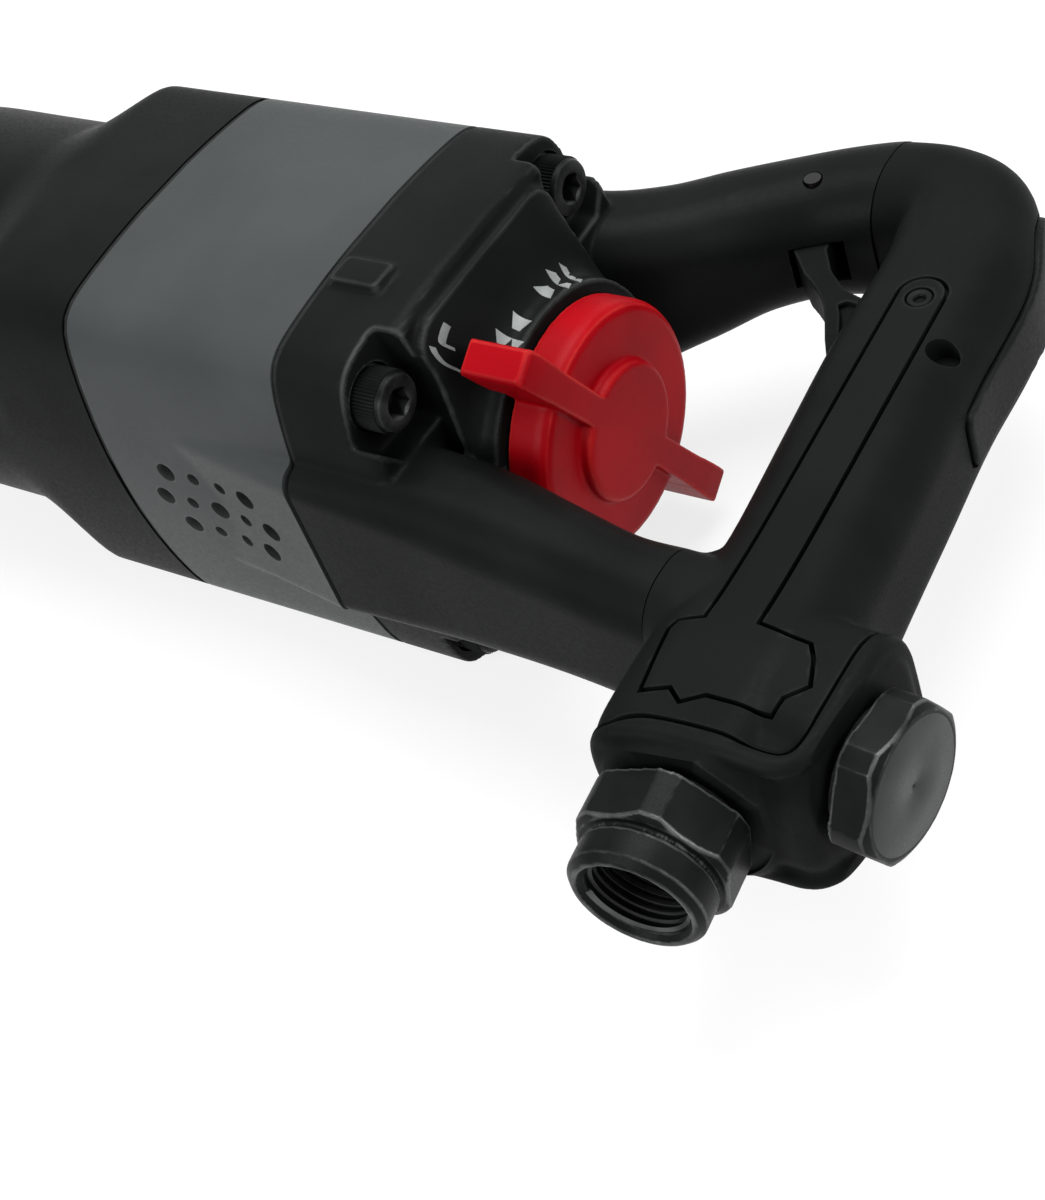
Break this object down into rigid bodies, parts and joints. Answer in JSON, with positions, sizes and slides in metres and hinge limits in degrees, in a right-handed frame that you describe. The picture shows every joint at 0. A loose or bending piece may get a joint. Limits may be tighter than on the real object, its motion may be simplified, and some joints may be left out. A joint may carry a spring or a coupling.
{
  "type": "pneumatic impact wrench",
  "caption": "Air impact wrench with square drive, vane motor and swinging hammers, a D handle with trigger, a turning power and direction knob, a threaded air inlet and an oil plug.",
  "frame": {"origin": "centre of the square drive's end face", "axes": "+X forward out of the drive along its axis, +Y towards the tool's underside where the air inlet is, +Z towards the tool's left flank; the tool lies on its right flank"},
  "size_m": [0.3888, 0.2007, 0.0986],
  "materials": {
    "black_paint": "satin black paint over an aluminium casting",
    "black_moulding": "fine matte moulded texture",
    "black_rubber": "matte",
    "grey_paint": "satin grey paint over an aluminium casting",
    "red_plastic": "satin moulding",
    "black_oxide_steel": "black oxide with bright worn edges",
    "ground_steel": "ground",
    "bronze": "machined",
    "vane_phenolic": "machined laminate",
    "seal_rubber": "matte",
    "gasket_fibre": "matte"
  },
  "bodies": {
    "housing": {"hammer_case": "black_paint", "nose_seal": "seal_rubber", "anvil_bushing": "bronze", "front_gasket": "gasket_fibre", "motor_housing": "grey_paint", "cylinder_liner": "ground_steel", "front_end_plate": "ground_steel", "rear_end_plate": "ground_steel", "front_bearing": "ground_steel", "rear_bearing": "ground_steel", "rear_gasket": "gasket_fibre", "handle_housing": "black_paint", "grip": "black_moulding", "rear_pad": "black_rubber", "left_inlay": "black_moulding", "right_inlay": "black_moulding", "left_inlay_screw": "black_oxide_steel", "right_inlay_screw": "black_oxide_steel", "trigger_pin": "ground_steel", "valve_cap": "black_oxide_steel", "throttle_spring": "ground_steel", "inlet_bushing": "black_oxide_steel", "inlet_oring": "seal_rubber", "inlet_screen": "bronze", "oil_plug": "black_oxide_steel", "plug_seal": "seal_rubber", "cap_screw_left_lower": "black_oxide_steel", "cap_screw_left_upper": "black_oxide_steel", "cap_screw_right_lower": "black_oxide_steel", "cap_screw_right_upper": "black_oxide_steel", "lock_washer_left_lower": "black_oxide_steel", "lock_washer_left_upper": "black_oxide_steel", "lock_washer_right_lower": "black_oxide_steel", "lock_washer_right_upper": "black_oxide_steel"},
    "anvil": {"anvil": "ground_steel"},
    "rotor": {"rotor": "ground_steel", "vane_1": "vane_phenolic", "vane_2": "vane_phenolic", "vane_3": "vane_phenolic", "vane_4": "vane_phenolic", "vane_5": "vane_phenolic", "vane_6": "vane_phenolic", "hammer_cage": "ground_steel", "hammer_pin_front": "ground_steel", "hammer_pin_rear": "ground_steel"},
    "front_hammer": {"hammer_dog_front": "ground_steel"},
    "rear_hammer": {"hammer_dog_rear": "ground_steel"},
    "trigger": {"trigger": "black_moulding"},
    "throttle": {"throttle_plunger": "bronze"},
    "regulator": {"regulator_knob": "red_plastic", "reverse_valve_spool": "bronze"}
  },
  "joints": [
    {"name": "rotor_spin", "type": "hinge", "parent": "housing", "child": "rotor", "pos_m": [-0.2113, 0, 0], "axis": [1, 0, 0], "continuous": true},
    {"name": "anvil_spin", "type": "hinge", "parent": "housing", "child": "anvil", "pos_m": [-0.056, 0, 0], "axis": [1, 0, 0], "continuous": true},
    {"name": "front_hammer_swing", "type": "hinge", "parent": "rotor", "child": "front_hammer", "pos_m": [-0.104, -0.032, 0], "axis": [1, 0, 0], "range_deg": [0, 5]},
    {"name": "rear_hammer_swing", "type": "hinge", "parent": "rotor", "child": "rear_hammer", "pos_m": [-0.126, 0.032, 0], "axis": [1, 0, 0], "range_deg": [-5, 0]},
    {"name": "trigger_pull", "type": "hinge", "parent": "housing", "child": "trigger", "pos_m": [-0.3008, -0.0695, 0], "axis": [0, 0, 1], "range_deg": [0, 7], "stiffness_Nm_per_rad": 4, "springref_deg": -8.59},
    {"name": "throttle_slide", "type": "slide", "parent": "housing", "child": "throttle", "axis": [-1, 0, 0], "range_m": [0, 0.005]},
    {"name": "regulator_turn", "type": "hinge", "parent": "housing", "child": "regulator", "pos_m": [-0.2858, 0, 0], "axis": [1, 0, 0], "range_deg": [0, 80]}
  ],
  "couplings": [
    {"joint": "anvil_spin", "follows": "rotor_spin", "ratio": 1},
    {"joint": "throttle_slide", "follows": "trigger_pull", "m_per_rad": 0.04}
  ]
}
